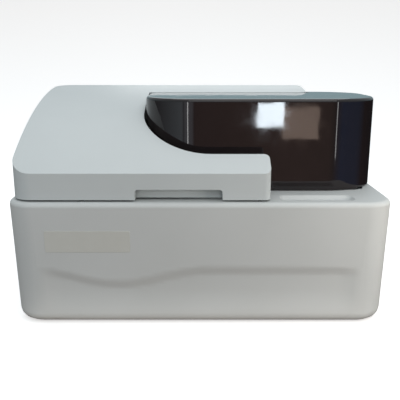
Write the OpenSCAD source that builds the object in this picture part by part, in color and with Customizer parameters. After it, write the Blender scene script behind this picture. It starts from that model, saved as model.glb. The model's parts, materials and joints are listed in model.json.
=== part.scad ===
// Bench-top chemistry analyzer: moulded base, hinged lid, smoked carousel cover and the works inside.
// x runs to the right, y to the back, z up. Inside the modules y is the depth behind the base's front.

/* [Base] */
// Width of the base at the deck
base_w = 820; // [806:1:850]
// Depth of the base from its front face to its rear face
base_d = 518; // [514:1:540]
// Height of the deck above the table
deck_z = 275; // [265:1:300]
// Gap under the casing that the feet stand in
shell_z = 3; // [2.5:0.5:6]
// Plan radius of the two front corners
front_corner = 60; // [50:1:70]
// Plan radius of the two rear corners
rear_corner = 40; // [25:1:45]
// How far the front and sides lean in towards the bottom
side_draft = 6; // [3:0.5:8]
// Round between the sides and the deck
shoulder_r = 11; // [8:0.5:14]
// Round under the sides
bottom_r = 24; // [18:1:26]
// Thickness of the deck moulding and of the work deck under it
deck_t = 4; // [3.5:0.25:5]
// Thickness of the casing wall at the deck
shell_t = 12; // [10:0.5:13]
// Step between the proud upper front and the lower front
wave_depth = 6; // [4:0.5:8]
// Height of the straight part of the front step
wave_z = 125; // [118:1:136]
// How far the step dips on the left
wave_dip = 32; // [25:1:40]
// Place of the dip's lowest point
wave_x = -174; // [-190:1:-160]
// Height over which the step blends
wave_soft = 26; // [18:1:30]

/* [Lid] */
// Set-back of the lid's left side from the base's side
lid_inset = 13; // [11:0.5:16]
// Set-back of the lid's front from the base's front
lid_front = 12; // [10:0.5:16]
// Depth of the lid's rear edge
lid_rear = 497; // [494:0.5:498]
// Gap between the lid and the deck
lid_gap = 4; // [3:0.25:5]
// Thickness of the lid's wall
lid_t = 4; // [3:0.25:4.5]
// Height of the lid's front crease above the deck
lid_front_h = 60; // [56:0.5:64]
// Height of the lid's rear edge above the deck
lid_rear_h = 219; // [216:0.5:224]
// Radius of the arched top
lid_arc_r = 932; // [900:1:980]
// Plan radius of the lid's outer corners
lid_corner = 45; // [35:1:50]
// Right end of the lid's front arm
arm_end_x = 148; // [140:1:150]
// Rear edge of the lid's front arm
arm_rear = 64; // [58:0.5:68]
// Left edge of the cut-out for the smoked cover
cut_x = -132; // [-138:0.5:-131]
// Plan radius of the cut-out's front corner
cut_r = 157; // [145:1:160]
// Front edge of the strip behind the smoked cover
strip_front = 372; // [371:0.5:374]
// Right end of that strip
strip_end_x = 278; // [270:1:279]
// Left end of the finger recess
finger_x0 = -136; // [-150:1:-120]
// Right end of the finger recess
finger_x1 = 47; // [30:1:60]
// Height of the finger recess
finger_h = 22; // [20:0.5:26]
// Depth of the finger recess
finger_d = 24; // [20:1:28]

/* [Smoked cover] */
// Left side of the smoked cover
cover_x0 = -128; // [-129:0.5:-124]
// Front of the smoked cover
cover_front = 116; // [113:0.5:118]
// Rear of the smoked cover at its right end
cover_rear = 420; // [414:0.5:421]
// Rear edge of the smoked cover's top at the lid's strip
cover_top_rear = 368; // [366:0.5:368.5]
// Height of the smoked cover above the deck
cover_h = 205; // [203:0.5:205.5]
// Plan radius of its front corners
cover_corner = 120; // [105:1:125]
// Plan radius of its rear right corner
cover_rear_corner = 110; // [95:1:115]
// Round of its top edge
cover_edge_r = 7; // [5:0.5:8]
// Thickness of its wall
cover_t = 4; // [3:0.25:4.5]
// Gap between the cover and the deck
cover_gap = 2; // [1.5:0.25:3]

/* [Hinges] */
// Depth of the lid's hinge axis
lid_axis_d = 505; // [504.5:0.25:506]
// Height of the lid's hinge axis above the deck
lid_axis_h = 165; // [164:0.5:168]
// Depth of the cover's hinge axis
cover_axis_d = 356; // [355:0.25:356.5]
// Height of the cover's hinge axis above the deck
cover_axis_h = 194; // [193:0.25:194]
// Radius of the hinge pins
pin_r = 3; // [2.5:0.1:3.4]
// Radial clearance of a turning pin or shaft
run_gap = 0.05; // [0.03:0.01:0.08]
// Radial clearance of a seated pin or shaft
seat_gap = 0.02; // [0.01:0.01:0.03]

/* [Carousel] */
// Place of the carousel's axis to the right of the middle
carousel_x = 205; // [200:1:210]
// Depth of the carousel's axis
carousel_d = 286; // [284:1:288]
// Radius of the carousel's tray
tray_r = 140; // [136:1:141]
// Radius of the ring of sample tubes
tube_ring_r = 126; // [122:1:127]
// Number of sample tubes
tube_n = 24; // [12, 24, 36]
// Radius of a sample tube
tube_r = 6.5; // [6:0.25:7]
// Radius of the ring of reagent bottles
bottle_ring_r = 80; // [76:1:82]
// Number of reagent bottles
bottle_n = 12; // [6, 12]
// Radius of a reagent bottle
bottle_r = 16; // [14:0.5:17]
// Depth of the cooled bowl
bowl_depth = 88; // [86:1:95]

/* [Reaction rotor] */
// Place of the rotor's axis
rotor_x = -190; // [-194:1:-186]
// Depth of the rotor's axis
rotor_d = 280; // [276:1:284]
// Radius of the ring of cuvettes
cuvette_ring_r = 92; // [90:0.5:93]
// Number of cuvettes
cuvette_n = 48; // [24, 36, 48]
// Depth of the incubator bowl
incubator_depth = 52; // [50:1:60]

/* [Probe arm] */
// Place of the arm's shaft
arm_x = 0; // [-6:1:6]
// Depth of the arm's shaft
arm_d = 305; // [300:1:308]
// Length of the arm from the shaft to the probe
arm_l = 150; // [146:1:154]
// Travel of the arm down from its rest height
arm_travel = 55; // [45:1:56]
// Height of the arm's underside above the deck at rest
arm_rest_h = 85; // [84:0.5:86]
// Radius of the arm's shaft
shaft_r = 8; // [7:0.25:8.5]

/* [Hidden] */
$fn = 48;
eps = 0.05;

barb_l = 12;
panel_t = 2;
total_d = base_d + panel_t + barb_l;

rim_top = 24;
rim_ledge = bottom_r - 3;
plate_t = 4;
plate_top = shell_z + plate_t;
work_top = deck_z - deck_t;
work_bot = work_top - deck_t;
seat_clear = 0.3;

open_x0 = -base_w / 2 + 38;
open_x1 = base_w / 2 - 32;

scoop_x0 = 172;
scoop_x1 = 330;
scoop_front = 25;
scoop_rear = 73;
scoop_depth = 8;

lid_x0 = -base_w / 2 + lid_inset;
lid_z = deck_z + lid_gap;
cover_x1 = base_w / 2 - 2;
cover_z = deck_z + cover_h;
rim_lip = 6;
rim_deep = 20;
rim_turn = strip_front - 42;

tower_x0 = lid_x0 + 9;
tower_x1 = base_w / 2 - 8;
tower_rear = max(base_d, lid_axis_d + 13);
tower_top = deck_z + lid_axis_h - 10;
tower_right_x = strip_end_x + 8;
tower_right_top = cover_z - 11;
tower_t = 4;

// The arched top passes through the lid's front crease and rear edge.
arch_a = [lid_front, deck_z + lid_front_h];
arch_b = [lid_rear, deck_z + lid_rear_h];
arch_chord = norm(arch_b - arch_a);
arch_dir = (arch_b - arch_a) / arch_chord;
arch_drop = sqrt(lid_arc_r * lid_arc_r - arch_chord * arch_chord / 4);
arch_c = (arch_a + arch_b) / 2 + arch_drop * [arch_dir[1], -arch_dir[0]];

lid_hinges = [-300, -60, 180];
cover_hinges = [10, 200];
lid_axis = [lid_axis_d, deck_z + lid_axis_h];
cover_axis = [cover_axis_d, deck_z + cover_axis_h];
knuckle_r = 7;
ear_r = 6;
// Behind its axis the cover stays inside this radius, so that it clears the tubes as it tips.
cover_sweep_r = cover_axis_h - 23;

bowl_gap = 3;
bowl_t = 3;
bowl_r = tray_r + bowl_gap + bowl_t;
bowl_z = work_top - bowl_depth;
tray_z0 = bowl_z + 15;
tray_z1 = work_top - 9;
tray_t = 4;
spindle_r = 7;
carousel_motor_h = 50;

incubator_r = 112;
incubator_z = work_top - incubator_depth;
cuvette_z0 = incubator_z + 19;
cuvette_z1 = work_top - 3;
cuvette_in = cuvette_ring_r - 8;
cuvette_out = cuvette_ring_r + 8;
rotor_spindle_r = 6;
rotor_motor_h = 40;

arm_z = deck_z + arm_rest_h;
arm_t = 18;
arm_boss_z = arm_z - 8;
arm_collar_z = arm_boss_z - 8;
arm_column_h = 16;
needle_tip_z = deck_z + 32;
rest_angle = -92;

// Angle, seen from the shaft, at which the probe stands over a ring.
function swing_to(c, ring_r, side) =
    let (p = c - [arm_x, arm_d], l = norm(p))
    atan2(p[1], p[0]) + side * acos((arm_l * arm_l + l * l - ring_r * ring_r) / (2 * arm_l * l));
function probe_at(a) = [arm_x + arm_l * cos(a), arm_d + arm_l * sin(a)];
function angle_from(c, p) = atan2(p[1] - c[1], p[0] - c[0]);

carousel_c = [carousel_x, carousel_d];
rotor_c = [rotor_x, rotor_d];
tube_phase = angle_from(carousel_c, probe_at(swing_to(carousel_c, tube_ring_r, -1)));
bottle_phase = angle_from(carousel_c, probe_at(swing_to(carousel_c, bottle_ring_r, -1)));
cuvette_phase = angle_from(rotor_c, probe_at(swing_to(rotor_c, cuvette_ring_r, 1)));
wash_c = probe_at(rest_angle);

// The deck is open over the works, round the carousel's flange and the wash well.
open_front = min(carousel_d - bowl_r - 10, wash_c[1] - 25);
open_rear = carousel_d + bowl_r + 16;
work_rear = min(open_rear + 30, base_d - shell_t - 4);
tower_front = open_rear - 12;

nozzle_n = 4;
nozzle_first = ceil((134 - cuvette_phase) * cuvette_n / 360 - nozzle_n / 2);
wash_angle = cuvette_phase + (nozzle_first + (nozzle_n - 1) / 2) * 360 / cuvette_n;
wash_reach = 160;
wash_post_c = rotor_c + wash_reach * [cos(wash_angle), sin(wash_angle)];
wash_post_r = 9;
wash_travel = 25;
wash_head_z = deck_z + 42;
nozzle_tip_z = deck_z + 2;

photo_x0 = rotor_x - incubator_r - 60;
photo_w = 52;
syringe_x = photo_x0 + 30;
syringe_d = 167;
syringe_z = work_top + 8;
barrel_r = 8;
barrel_bore_r = 5;
barrel_l = 51;
plunger_r = barrel_bore_r - 0.1;

// The units on the bottom plate keep their distance from the casing's walls.
supply_w = 128;
supply_l = 170;
supply_h = 60;
supply_x0 = -base_w / 2 + shell_t + 34;
supply_d1 = base_d - shell_t - 36;
board_w = 280;
board_l = 150;
board_post_h = 12;
board_x0 = supply_x0 + supply_w + 36;
board_d1 = base_d - shell_t - 28;
pump_c = [base_w / 2 - shell_t - 123, shell_t + 93];

window_x0 = -285;
window_x1 = 315;
window_z0 = 58;
window_z1 = 222;
panel_x0 = window_x0 - 15;
panel_x1 = window_x1 + 15;
panel_z0 = window_z0 - 13;
panel_z1 = window_z1 + 13;
panel_d = base_d + panel_t;
port_z = 112;
fan_x = 235;
fan_z = 140;
fan_w = 80;
fan_t = 25;
fan_bore_r = 37;
blade_n = 7;
inlet_x = -235;
switch_x = -170;
switch_r = 12.6;
switch_w = 18;
switch_d = base_d - 7;
switch_tilt = 8;
data_x = -90;
barb_x = [20, 60, 100];
barb_r = 4;
screw_x = [panel_x0 + 8, (panel_x0 + panel_x1) / 2, panel_x1 - 8];
screw_z = [panel_z0 + 7, panel_z1 - 7];
screw_r = 2;

casing = "#d9d8d4";
lid_grey = "#c6c9cd";
smoke = "#2a2726";
steel = "#b9bcc0";
dark = "#2c2d30";
white = "#eceae4";

module in_frame() {
    translate([0, -total_d / 2, 0]) children();
}

function arc(c, r, a0, a1, n) =
    [for (i = [0:n]) let (a = a0 + (a1 - a0) * i / n) c + r * [cos(a), sin(a)]];

// Rounded rectangle from corner p to corner q, radii in the order front left, front right, rear right, rear left.
function rounded(p, q, r, n = 8) = concat(
    arc([p[0] + r[0], p[1] + r[0]], r[0], 180, 270, n),
    arc([q[0] - r[1], p[1] + r[1]], r[1], 270, 360, n),
    arc([q[0] - r[2], q[1] - r[2]], r[2], 0, 90, n),
    arc([p[0] + r[3], q[1] - r[3]], r[3], 90, 180, n));

module plate(p, q, r, z, h, n = 8) {
    translate([0, 0, z]) linear_extrude(h) polygon(rounded(p, q, r, n));
}

module block(p, q) {
    translate(p) cube(q - p);
}

// Extrudes an outline given as depth and height along x.
module along_x(x0, x1) {
    translate([x0, 0, 0]) rotate([90, 0, 90]) linear_extrude(x1 - x0) children();
}

module rod_x(x0, x1, c, r) {
    translate([x0, c[0], c[1]]) rotate([0, 90, 0]) cylinder(h = x1 - x0, r = r);
}

module rod_y(d0, d1, c, r) {
    translate([c[0], d0, c[1]]) rotate([-90, 0, 0]) cylinder(h = d1 - d0, r = r);
}

module rod_z(z0, z1, c, r) {
    translate([c[0], c[1], z0]) cylinder(h = z1 - z0, r = r);
}

// Everything under the lid's arched surface, less a depth below it.
module under_arch(depth) {
    translate([-base_w, arch_c[0], arch_c[1]]) rotate([0, 90, 0])
        cylinder(h = 2 * base_w, r = lid_arc_r - depth, $fn = 240);
}

function smooth(t) = let (u = min(1, max(0, t))) u * u * (3 - 2 * u);
wave_half = 188;
function wave_line(x) =
    let (t = min(1, abs(x - wave_x) / wave_half))
    wave_z - wave_dip * (1 + cos(180 * t)) / 2;
wave_fade = 45;
wave_foot = 75;
front_half = base_w / 2 - front_corner;
function wave_push(x, z) =
    wave_depth * smooth((front_half - abs(x)) / wave_fade) * smooth((z - shell_z) / wave_foot)
    * (1 - smooth((z - wave_line(x)) / wave_soft + 0.5));

// Height and inset of each ring of the casing's outside, from the bottom up.
wave_step = 6.2;
casing_rings = concat(
    [for (a = [0:22.5:90]) [shell_z + bottom_r * (1 - cos(a)), bottom_r * (1 - sin(a))]],
    [for (z = [shell_z + bottom_r + 12:15:wave_z - wave_dip - wave_soft / 2 - 6]) [z, 0]],
    [for (z = [wave_z - wave_dip - wave_soft / 2:wave_step:wave_z + wave_soft / 2 + wave_step]) [z, 0]],
    [for (a = [0:22.5:90]) [deck_z - shoulder_r * (1 - sin(a)), shoulder_r * (1 - cos(a))]]);
corner_n = 8;
front_n = 40;

function casing_ring(z, inset) =
    let (lean = side_draft * (deck_z - z) / (deck_z - shell_z),
         x1 = base_w / 2 - inset - lean,
         y0 = inset + lean,
         y1 = base_d - inset,
         rf = front_corner - inset,
         rr = rear_corner - inset)
    concat(
        [for (p = arc([-x1 + rf, y0 + rf], rf, 180, 270, corner_n)) [p[0], p[1], z]],
        [for (i = [1:front_n - 1]) let (x = (x1 - rf) * (2 * i / front_n - 1)) [x, y0 + wave_push(x, z), z]],
        [for (p = arc([x1 - rf, y0 + rf], rf, 270, 360, corner_n)) [p[0], p[1], z]],
        [for (p = arc([x1 - rr, y1 - rr], rr, 0, 90, corner_n)) [p[0], p[1], z]],
        [for (p = arc([-x1 + rr, y1 - rr], rr, 90, 180, corner_n)) [p[0], p[1], z]]);

// Skins a stack of rings that have the same number of points, from the bottom up.
module loft(rings) {
    n = len(rings[0]);
    m = len(rings);
    sides = [for (k = [0:m - 2]) for (i = [0:n - 1])
        let (j = (i + 1) % n, a = k * n, b = a + n) [b + i, b + j, a + j, a + i]];
    bottom = [for (i = [0:n - 1]) i];
    top = [for (i = [n - 1:-1:0]) (m - 1) * n + i];
    polyhedron([for (r = rings) each r], concat([bottom, top], sides));
}

// The moulded outside with the soft wave across its front: the shape that took the most care.
module casing_outside() {
    loft([for (r = casing_rings) casing_ring(r[0], r[1])]);
}

module casing_cavity() {
    x = base_w / 2 - shell_t;
    difference() {
        plate([-x, shell_t + 2], [x, base_d - shell_t], [48, 48, 30, 30], rim_top, work_top - rim_top);
        block([scoop_x0 - 8, 0, work_top - scoop_depth - 4], [scoop_x1 + 8, scoop_rear + 8, deck_z]);
    }
    plate([-x + rim_ledge, shell_t + 2 + rim_ledge], [x - rim_ledge, base_d - shell_t - rim_ledge],
        [36, 36, 20, 20], 0, rim_top + 1);
}

module deck_scoop() {
    slope = 5;
    hull() {
        plate([scoop_x0 + slope, scoop_front + slope], [scoop_x1 - slope, scoop_rear - 2 * slope],
            [12, 12, 12, 12], deck_z - scoop_depth, 1, 6);
        plate([scoop_x0, scoop_front], [scoop_x1, scoop_rear], [14, 14, 14, 14], deck_z, 1, 6);
    }
}

module base_shell() {
    color(casing) difference() {
        casing_outside();
        casing_cavity();
        plate([open_x0, open_front], [open_x1, open_rear], [30, 30, 20, 20], work_top - 1, deck_t + 2);
        deck_scoop();
        block([window_x0, base_d - shell_t - 1, window_z0], [window_x1, base_d + 1, window_z1]);
    }
}

module base_plate() {
    x = base_w / 2 - shell_t - rim_ledge - seat_clear;
    slot_l = 60;
    color(steel) difference() {
        plate([-x, shell_t + 2 + rim_ledge + seat_clear], [x, base_d - shell_t - rim_ledge - seat_clear],
            [36, 36, 20, 20], shell_z, plate_t);
        for (i = [0:6])
            block([80 + 16 * i, 200, shell_z - 1], [86 + 16 * i, 200 + slot_l, plate_top + 1]);
    }
}

module feet() {
    foot_x = base_w / 2 - 75;
    color(dark) for (x = [-foot_x, foot_x], d = [75, base_d - 75])
        translate([x, d, 0]) cylinder(h = shell_z, r1 = 18, r2 = 21);
}

module work_deck() {
    x = base_w / 2 - shell_t - 8;
    color("#c9ccce") difference() {
        plate([-x, open_front - 26], [x, work_rear], [20, 20, 20, 20], work_bot, deck_t);
        rod_z(work_bot - 1, work_top + 1, carousel_c, bowl_r + 0.2);
        rod_z(work_bot - 1, work_top + 1, rotor_c, incubator_r + 0.2);
        rod_z(work_bot - 1, work_top + 1, wash_c, 13.2);
        rod_z(work_bot - 1, work_top + 1, [arm_x, arm_d], shaft_r + 1);
    }
}

module rear_tower() {
    curb_t = 12;
    curb_top = deck_z + 17;
    bend = [cover_x1 - cover_rear_corner, cover_rear - cover_rear_corner];
    curb_reach = tower_x1 - curb_t - 1 - bend[0];
    curb_front = bend[1] + sqrt(pow(cover_rear_corner, 2) - pow(curb_reach, 2));
    color(casing) difference() {
        union() {
            plate([tower_x0, tower_front], [tower_x1, tower_rear], [4, 4, 18, 18], deck_z, tower_top - deck_z);
            plate([tower_right_x, cover_rear + 8], [tower_x1, tower_rear], [6, 6, 18, 6],
                deck_z, tower_right_top - deck_z);
            block([tower_x1 - curb_t, curb_front, deck_z], [tower_x1, tower_front + 10, curb_top]);
        }
        block([tower_x0 + tower_t, tower_front + tower_t, deck_z - 1],
            [tower_x1 - curb_t, tower_rear - 8, tower_top - tower_t]);
        block([tower_right_x + tower_t, cover_rear + 8 + tower_t, deck_z - 1],
            [tower_x1 - curb_t, tower_rear - 8, tower_right_top - tower_t]);
        for (i = [0:11])
            block([-200 + 30 * i, tower_rear - 9, deck_z + 60], [-180 + 30 * i, tower_rear + 1, deck_z + 66]);
    }
}

module rear_panel() {
    color(steel) difference() {
        block([panel_x0, base_d, panel_z0], [panel_x1, panel_d, panel_z1]);
        rod_y(base_d - 1, panel_d + 1, [fan_x, fan_z], fan_bore_r - 1);
        block([inlet_x - 16.3, base_d - 1, port_z - 12.3], [inlet_x + 16.3, panel_d + 1, port_z + 12.3]);
        block([switch_x - 12.3, base_d - 1, port_z - 15.3], [switch_x + 12.3, panel_d + 1, port_z + 15.3]);
        block([data_x - 14.3, base_d - 1, port_z - 7.3], [data_x + 14.3, panel_d + 1, port_z + 7.3]);
        for (x = barb_x) rod_y(base_d - 1, panel_d + 1, [x, port_z], barb_r + seat_gap);
        for (x = screw_x, z = screw_z) rod_y(base_d - 1, panel_d + 1, [x, z], screw_r + 0.1);
        for (i = [0:9]) block([-120 + 26 * i, base_d - 1, 170], [-102 + 26 * i, panel_d + 1, 205]);
    }
}

module panel_screws() {
    head_r = 4;
    head_h = 1.8;
    color(steel) for (x = screw_x, z = screw_z) difference() {
        union() {
            rod_y(panel_d, panel_d + head_h, [x, z], head_r);
            rod_y(base_d, panel_d + eps, [x, z], screw_r);
        }
        block([x - head_r, panel_d + head_h - 0.8, z - 0.5], [x + head_r, panel_d + head_h + 1, z + 0.5]);
    }
}

// Plan of the lid: left half, front arm and rear strip around the smoked cover, drawn in by t.
function lid_plan(t) = concat(
    arc([lid_x0 + lid_corner, lid_front + lid_corner], lid_corner - t, 180, 270, 12),
    arc([arm_end_x - 14, lid_front + 14], 14 - t, 270, 360, 6),
    arc([arm_end_x - 12, arm_rear - 12], 12 - t, 0, 90, 6),
    arc([cut_x + cut_r, arm_rear + cut_r], cut_r + t, 270, 180, 20),
    [[cut_x - t, strip_front + t]],
    arc([strip_end_x - 12, strip_front + 12], 12 - t, 270, 360, 6),
    arc([strip_end_x - 24, lid_rear - 24], 24 - t, 0, 90, 8),
    arc([lid_x0 + lid_corner, lid_rear - lid_corner], lid_corner - t, 90, 180, 12));

// Plan of the strip along the cut-out where the lid keeps only a lip, short at the cover's hinges.
function lip_zone(t) = concat(
    [[strip_end_x + 30, arm_rear - t]],
    arc([cut_x + cut_r, arm_rear + cut_r], cut_r + t, 270, 180, 20),
    [[cut_x - t, strip_front + t], [strip_end_x + 30, strip_front + t]]);

module lid_body(t, depth, z0) {
    intersection() {
        translate([0, 0, z0]) linear_extrude(deck_z + lid_rear_h + 40 - z0) polygon(lid_plan(t));
        under_arch(depth);
    }
}

module lid_shell() {
    rib_d = [120, 205, 290, 375];
    rib_h = 12;
    rear_wall_h = lid_axis_h - 5;
    color(lid_grey) {
        difference() {
            lid_body(0, 0, lid_z);
            difference() {
                lid_body(lid_t, lid_t, lid_z - 1);
                for (d = rib_d) difference() {
                    block([lid_x0, d, lid_z], [cut_x - lid_t - 4, d + 3, deck_z + lid_rear_h]);
                    under_arch(lid_t + rib_h);
                }
                block([finger_x0 - 4, lid_front, lid_z], [finger_x1 + 4, lid_front + finger_d + 4,
                    lid_z + finger_h + 4]);
            }
            intersection() {
                translate([0, 0, lid_z - 1]) linear_extrude(400) polygon(lip_zone(lid_t + eps));
                union() {
                    under_arch(rim_deep);
                    intersection() {
                        under_arch(rim_lip);
                        block([lid_x0, rim_turn, lid_z - 2], [strip_end_x + 40, lid_rear, deck_z + 400]);
                    }
                }
            }
            block([lid_x0 + lid_t, tower_front - 11, lid_z - 1],
                [strip_end_x + 1, lid_rear + 1, deck_z + rear_wall_h]);
            block([cut_x - lid_t - 1, strip_front - 1, lid_z - 1],
                [strip_end_x + 1, lid_rear + 1, deck_z + rear_wall_h]);
            finger_pocket();
        }
    }
}

// The hand's way in under the lid's front edge.
module finger_pocket() {
    r = 7;
    difference() {
        block([finger_x0, lid_front - 1, lid_z - 1], [finger_x1, lid_front + finger_d, lid_z + finger_h]);
        for (s = [[finger_x0, 1], [finger_x1, -1]]) translate([s[0], 0, lid_z + finger_h]) difference() {
            block([min(0, s[1] * r) - eps, lid_front - 2, -r], [max(0, s[1] * r) + eps, lid_front + finger_d + 1, 1]);
            rod_y(lid_front - 3, lid_front + finger_d + 2, [s[1] * r, -r], r);
        }
    }
}

module lid_knuckles() {
    half = 9.5;
    leaf_t = 3;
    color(steel) for (x = lid_hinges) difference() {
        union() {
            rod_x(x - half, x + half, lid_axis, knuckle_r);
            block([x - half, lid_rear, lid_axis[1] - 4], [x + half, lid_rear + leaf_t, lid_axis[1] + 32]);
            block([x - half, lid_rear, lid_axis[1] - 1.5], [x + half, lid_axis[0], lid_axis[1] + 1.5]);
        }
        rod_x(x - half - 1, x + half + 1, lid_axis, pin_r + run_gap);
    }
}

module lid_hinge_brackets() {
    inner = 10.5;
    outer = 19;
    color(steel) for (x = lid_hinges, s = [-1, 1]) {
        x0 = min(x + s * inner, x + s * outer);
        x1 = max(x + s * inner, x + s * outer);
        difference() {
            union() {
                rod_x(x0, x1, lid_axis, knuckle_r);
                block([x0, lid_axis[0] - knuckle_r, tower_top], [x1, lid_axis[0] + knuckle_r, lid_axis[1]]);
            }
            rod_x(x0 - 1, x1 + 1, lid_axis, pin_r + seat_gap);
        }
    }
}

module lid_hinge_pins() {
    color("#8f9398") for (x = lid_hinges) rod_x(x - 21, x + 21, lid_axis, pin_r);
}

module lid_bumpers() {
    pad_r = 5;
    spots = [[lid_x0 + 20, 190], [lid_x0 + 20, 400], [-250, lid_front + 12], [arm_end_x - 22, lid_front + 12]];
    color(dark) for (p = spots) translate([p[0], p[1], deck_z]) cylinder(h = lid_gap - seat_clear, r = pad_r);
}

// The rounded box, drawn in by t, from height z0 up to the inside or outside of its top.
module cover_form(t, z0) {
    top = cover_z - t;
    edge = cover_edge_r - t / 2;
    loft(concat([cover_ring(t, z0)],
        [for (a = [0:18:90]) cover_ring(t + edge * (1 - cos(a)), top - edge * (1 - sin(a)))]));
}

function cover_ring(t, z) =
    [for (p = rounded([cover_x0 + t, cover_front + t], [cover_x1 - t, cover_rear - t],
        [cover_corner - t, cover_corner - t, cover_rear_corner - t, 24 - t], 10)) [p[0], p[1], z]];

function arch_z(d) = arch_c[1] + sqrt(lid_arc_r * lid_arc_r - pow(d - arch_c[0], 2));

module smoked_cover() {
    low_overlap = 45;
    low_end_x = arm_end_x + 8;
    rise_front = cover_axis_d - 26;
    sweep_end = 270 + asin((cover_rear + 6 - cover_axis_d) / cover_sweep_r);
    notch = 9.5;
    color(smoke) difference() {
        cover_form(0, deck_z + cover_gap);
        cover_form(cover_t, deck_z - 10);
        block([cover_x0 - 1, cover_top_rear, deck_z - 20], [tower_right_x - 1, cover_rear + 1, cover_z + 1]);
        along_x(cover_x0 - 1, cover_x1 + 1) polygon(concat(
            arc(cover_axis, cover_sweep_r, 270, sweep_end, 6),
            [[cover_rear + 20, deck_z - 20], [rise_front, deck_z - 20], [rise_front, deck_z + cover_gap]]));
        along_x(cover_x0 - 1, low_end_x) polygon(concat(
            [for (d = [cover_front - 16:20:cover_axis_d + 40]) [d, arch_z(d) - low_overlap]],
            [[cover_axis_d + 40, deck_z - 20], [cover_front - 16, deck_z - 20]]));
        for (x = cover_hinges)
            block([x - notch, cover_axis_d - 4, cover_z - 20], [x + notch, cover_rear, cover_z + 1]);
    }
}

module cover_lugs() {
    inner = 9;
    outer = 20;
    color(dark) for (x = cover_hinges, s = [-1, 1]) {
        x0 = min(x + s * inner, x + s * outer);
        x1 = max(x + s * inner, x + s * outer);
        difference() {
            union() {
                rod_x(x0, x1, cover_axis, knuckle_r);
                block([x0, cover_axis[0] - knuckle_r, cover_axis[1]],
                    [x1, cover_axis[0] + knuckle_r, cover_z - cover_t - 0.1]);
            }
            rod_x(x0 - 1, x1 + 1, cover_axis, pin_r + run_gap);
        }
    }
}

module cover_ears() {
    half = 8;
    foot_front = strip_front + 8;
    foot_rear = strip_front + 26;
    color(lid_grey) for (x = cover_hinges) difference() {
        intersection() {
            union() {
                rod_x(x - half, x + half, cover_axis, ear_r);
                along_x(x - half, x + half) polygon([
                    cover_axis + [0, -ear_r], [foot_rear - 4, cover_axis[1] - 3], [foot_rear, cover_axis[1] + 30],
                    [foot_front, cover_axis[1] + 30], [foot_front - 2, cover_axis[1] + ear_r - 2],
                    cover_axis + [0, ear_r - 1]]);
            }
            under_arch(lid_t + 0.15);
        }
        rod_x(x - half - 1, x + half + 1, cover_axis, pin_r + seat_gap);
    }
}

module cover_hinge_pins() {
    color("#8f9398") for (x = cover_hinges) rod_x(x - 21, x + 21, cover_axis, pin_r);
}

// A bowl let into the work deck, with a flange on top and a bearing seat in its floor.
module bowl(c, r, t, z, bearing_r) {
    difference() {
        union() {
            rod_z(z, work_top, c, r);
            rod_z(work_top, work_top + 2, c, r + 6);
        }
        rod_z(z + t, work_top + 3, c, r - t);
        rod_z(z - 1, z + t + 1, c, bearing_r + seat_gap);
    }
}

module bearing(c, z, h, outer_r, inner_r) {
    difference() {
        rod_z(z, z + h, c, outer_r);
        rod_z(z - 1, z + h + 1, c, inner_r);
    }
}

// A square stepper motor whose top takes the driven shaft.
module motor(c, top, h, w, bore_r, bore_l) {
    difference() {
        translate([0, 0, top - h]) linear_extrude(h)
            polygon(rounded(c - [w / 2, w / 2], c + [w / 2, w / 2], [4, 4, 4, 4], 4));
        rod_z(top - bore_l, top + 1, c, bore_r);
    }
}

module carousel_bowl() {
    color("#d3d6d8") bowl(carousel_c, bowl_r, bowl_t, bowl_z, 14);
}

module carousel_bearing() {
    color(steel) bearing(carousel_c, bowl_z, 10, 14, spindle_r + run_gap);
}

module carousel_tray() {
    hub_r = 18;
    color("#e4e6e7") difference() {
        union() {
            rod_z(tray_z0, tray_z0 + tray_t, carousel_c, tray_r);
            rod_z(tray_z1, tray_z1 + tray_t, carousel_c, tray_r);
            rod_z(tray_z0, tray_z1 + 10, carousel_c, hub_r);
        }
        for (i = [0:tube_n - 1])
            rod_z(tray_z1 - 1, tray_z1 + tray_t + 1, ring_spot(carousel_c, tube_ring_r, tube_phase, i, tube_n),
                tube_r + seat_clear);
        for (i = [0:bottle_n - 1])
            rod_z(tray_z1 - 1, tray_z1 + tray_t + 1,
                ring_spot(carousel_c, bottle_ring_r, bottle_phase, i, bottle_n), bottle_r + 0.4);
        rod_z(tray_z0 - 1, tray_z1 + 20, carousel_c, spindle_r + seat_gap);
    }
}

function ring_spot(c, r, phase, i, n) = c + r * [cos(phase + i * 360 / n), sin(phase + i * 360 / n)];

module carousel_spindle() {
    color("#8f9398") rod_z(bowl_z - 33, tray_z1 + 15, carousel_c, spindle_r);
}

module carousel_knob() {
    knob_r = 16;
    z = tray_z1 + 10;
    color(dark) difference() {
        rod_z(z, z + 19, carousel_c, knob_r);
        rod_z(z - 1, z + 6, carousel_c, spindle_r + seat_gap);
        for (i = [0:7]) rod_z(z + 5, z + 20, ring_spot(carousel_c, knob_r + 2, 0, i, 8), 4.5);
    }
}

module sample_tubes() {
    z = tray_z0 + tray_t;
    top = work_top + 18;
    color("#c8d3da") for (i = [0:tube_n - 1]) {
        c = ring_spot(carousel_c, tube_ring_r, tube_phase, i, tube_n);
        difference() {
            rod_z(z, top, c, tube_r);
            rod_z(z + 6, top + 1, c, tube_r - 1.2);
        }
    }
}

module reagent_bottles() {
    z = tray_z0 + tray_t;
    body_h = 56;
    shoulder_h = 9;
    neck_r = 9;
    top = work_top + 13;
    color(white) for (i = [0:bottle_n - 1]) {
        c = ring_spot(carousel_c, bottle_ring_r, bottle_phase, i, bottle_n);
        difference() {
            union() {
                rod_z(z, z + body_h, c, bottle_r);
                translate([c[0], c[1], z + body_h]) cylinder(h = shoulder_h, r1 = bottle_r, r2 = neck_r);
                rod_z(z + body_h + shoulder_h, top, c, neck_r);
            }
            rod_z(z + 10, top + 1, c, neck_r - 2);
        }
    }
}

module carousel_motor() {
    color(dark) motor(carousel_c, bowl_z, carousel_motor_h, 56, spindle_r + 0.1, 35);
}

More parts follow.
